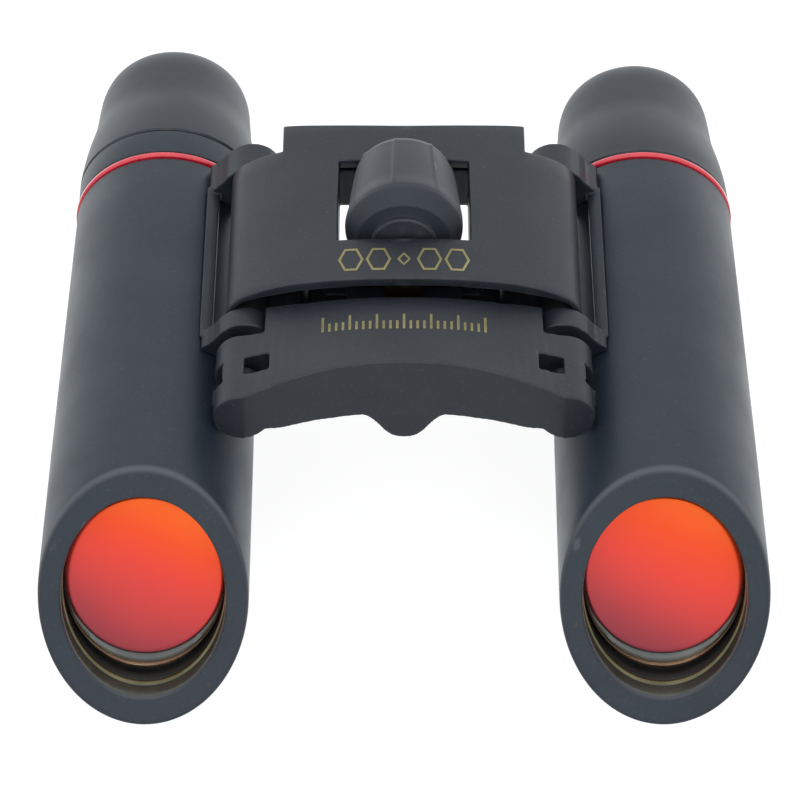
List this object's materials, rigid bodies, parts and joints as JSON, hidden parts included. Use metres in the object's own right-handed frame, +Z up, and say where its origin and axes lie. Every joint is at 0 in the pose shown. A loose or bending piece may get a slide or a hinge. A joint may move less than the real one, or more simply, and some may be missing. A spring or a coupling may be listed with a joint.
{
  "type": "binoculars",
  "caption": "Compact folding roof-prism binoculars with a central bridge, fluted focus wheel, two hinged barrels, ruby front glass and red trim rings.",
  "frame": {"origin": "under the middle of the object's box, on the surface that both barrels rest on", "axes": "+Y along the barrels towards the eyepieces, +Z up, +X to the user's left"},
  "size_m": [0.0978, 0.1122, 0.0429],
  "materials": {
    "soft_black": "soft-touch matt black coating over moulded plastic",
    "eyecup_rubber": "matt black rubber",
    "moulded_black": "fine-grained black moulding",
    "chassis_black": "black glass-filled moulding",
    "inner_black": "black anodised",
    "steel": "turned, bright",
    "brass": "turned",
    "red_gloss": "glossy red",
    "ruby_glass": "ruby reflective coating, orange at the top to crimson below",
    "clear_glass": "polished",
    "coated_glass": "violet anti-reflection coating"
  },
  "bodies": {
    "bridge": {"bridge_cover": "moulded_black", "bridge_frame": "chassis_black", "cover_screw_1": "steel", "cover_screw_2": "steel", "cover_screw_3": "steel", "cover_screw_4": "steel", "right_hinge_pin": "steel", "left_hinge_pin": "steel"},
    "right_barrel": {"right_barrel_tube": "soft_black", "right_hinge_bracket": "moulded_black", "right_trim_ring": "red_gloss", "right_eyecup": "eyecup_rubber", "right_front_window": "ruby_glass", "right_window_bezel": "inner_black", "right_prism_holder": "inner_black", "right_half_penta_prism": "clear_glass", "right_schmidt_prism": "clear_glass", "right_field_stop": "inner_black"},
    "left_barrel": {"left_barrel_tube": "soft_black", "left_hinge_bracket": "moulded_black", "left_trim_ring": "red_gloss", "left_eyecup": "eyecup_rubber", "left_front_window": "ruby_glass", "left_window_bezel": "inner_black", "left_prism_holder": "inner_black", "left_half_penta_prism": "clear_glass", "left_schmidt_prism": "clear_glass", "left_field_stop": "inner_black", "left_ocular_cell": "inner_black", "left_field_lens": "clear_glass", "left_eye_lens": "coated_glass", "left_eye_lens_retaining_ring": "inner_black"},
    "focus_wheel": {"focus_wheel": "eyecup_rubber", "focus_screw": "steel", "thrust_washer": "brass"},
    "focus_slider": {"focus_slider": "moulded_black", "focus_nut": "brass"},
    "right_objective": {"right_objective_cell": "inner_black", "right_objective_lens": "clear_glass", "right_objective_retaining_ring": "inner_black", "right_focus_arm": "moulded_black"},
    "left_objective": {"left_objective_cell": "inner_black", "left_objective_lens": "clear_glass", "left_objective_retaining_ring": "inner_black", "left_focus_arm": "moulded_black"},
    "dioptre_ring": {"dioptre_ring": "soft_black"},
    "right_ocular": {"right_ocular_cell": "inner_black", "right_field_lens": "clear_glass", "right_eye_lens": "coated_glass", "right_eye_lens_retaining_ring": "inner_black"}
  },
  "joints": [
    {"name": "right_fold", "type": "hinge", "parent": "bridge", "child": "right_barrel", "pos_m": [-0.0218, 0.00725, 0.0272], "axis": [0, -1, 0], "range_deg": [0, 62]},
    {"name": "left_fold", "type": "hinge", "parent": "bridge", "child": "left_barrel", "pos_m": [0.0218, 0.00725, 0.0272], "axis": [0, 1, 0], "range_deg": [0, 62]},
    {"name": "focus_turn", "type": "hinge", "parent": "bridge", "child": "focus_wheel", "pos_m": [0, 0.00825, 0.0346], "axis": [0, 1, 0], "range_deg": [-270, 270]},
    {"name": "focus_slide", "type": "slide", "parent": "bridge", "child": "focus_slider", "axis": [0, 1, 0], "range_m": [-0.0015, 0.0015]},
    {"name": "right_objective_slide", "type": "slide", "parent": "right_barrel", "child": "right_objective", "axis": [0, 1, 0], "range_m": [-0.0015, 0.0015]},
    {"name": "left_objective_slide", "type": "slide", "parent": "left_barrel", "child": "left_objective", "axis": [0, 1, 0], "range_m": [-0.0015, 0.0015]},
    {"name": "dioptre_turn", "type": "hinge", "parent": "right_barrel", "child": "dioptre_ring", "pos_m": [-0.0348, 0.03125, 0.0141], "axis": [0, 1, 0], "range_deg": [-90, 90]},
    {"name": "right_ocular_slide", "type": "slide", "parent": "right_barrel", "child": "right_ocular", "axis": [0, 1, 0], "range_m": [-0.0006, 0.0006]}
  ],
  "couplings": [
    {"joint": "focus_turn", "follows": "focus_slide", "rad_per_m": 3140},
    {"joint": "right_objective_slide", "follows": "focus_slide", "ratio": 1},
    {"joint": "left_objective_slide", "follows": "focus_slide", "ratio": 1},
    {"joint": "dioptre_turn", "follows": "right_ocular_slide", "rad_per_m": 2615}
  ]
}
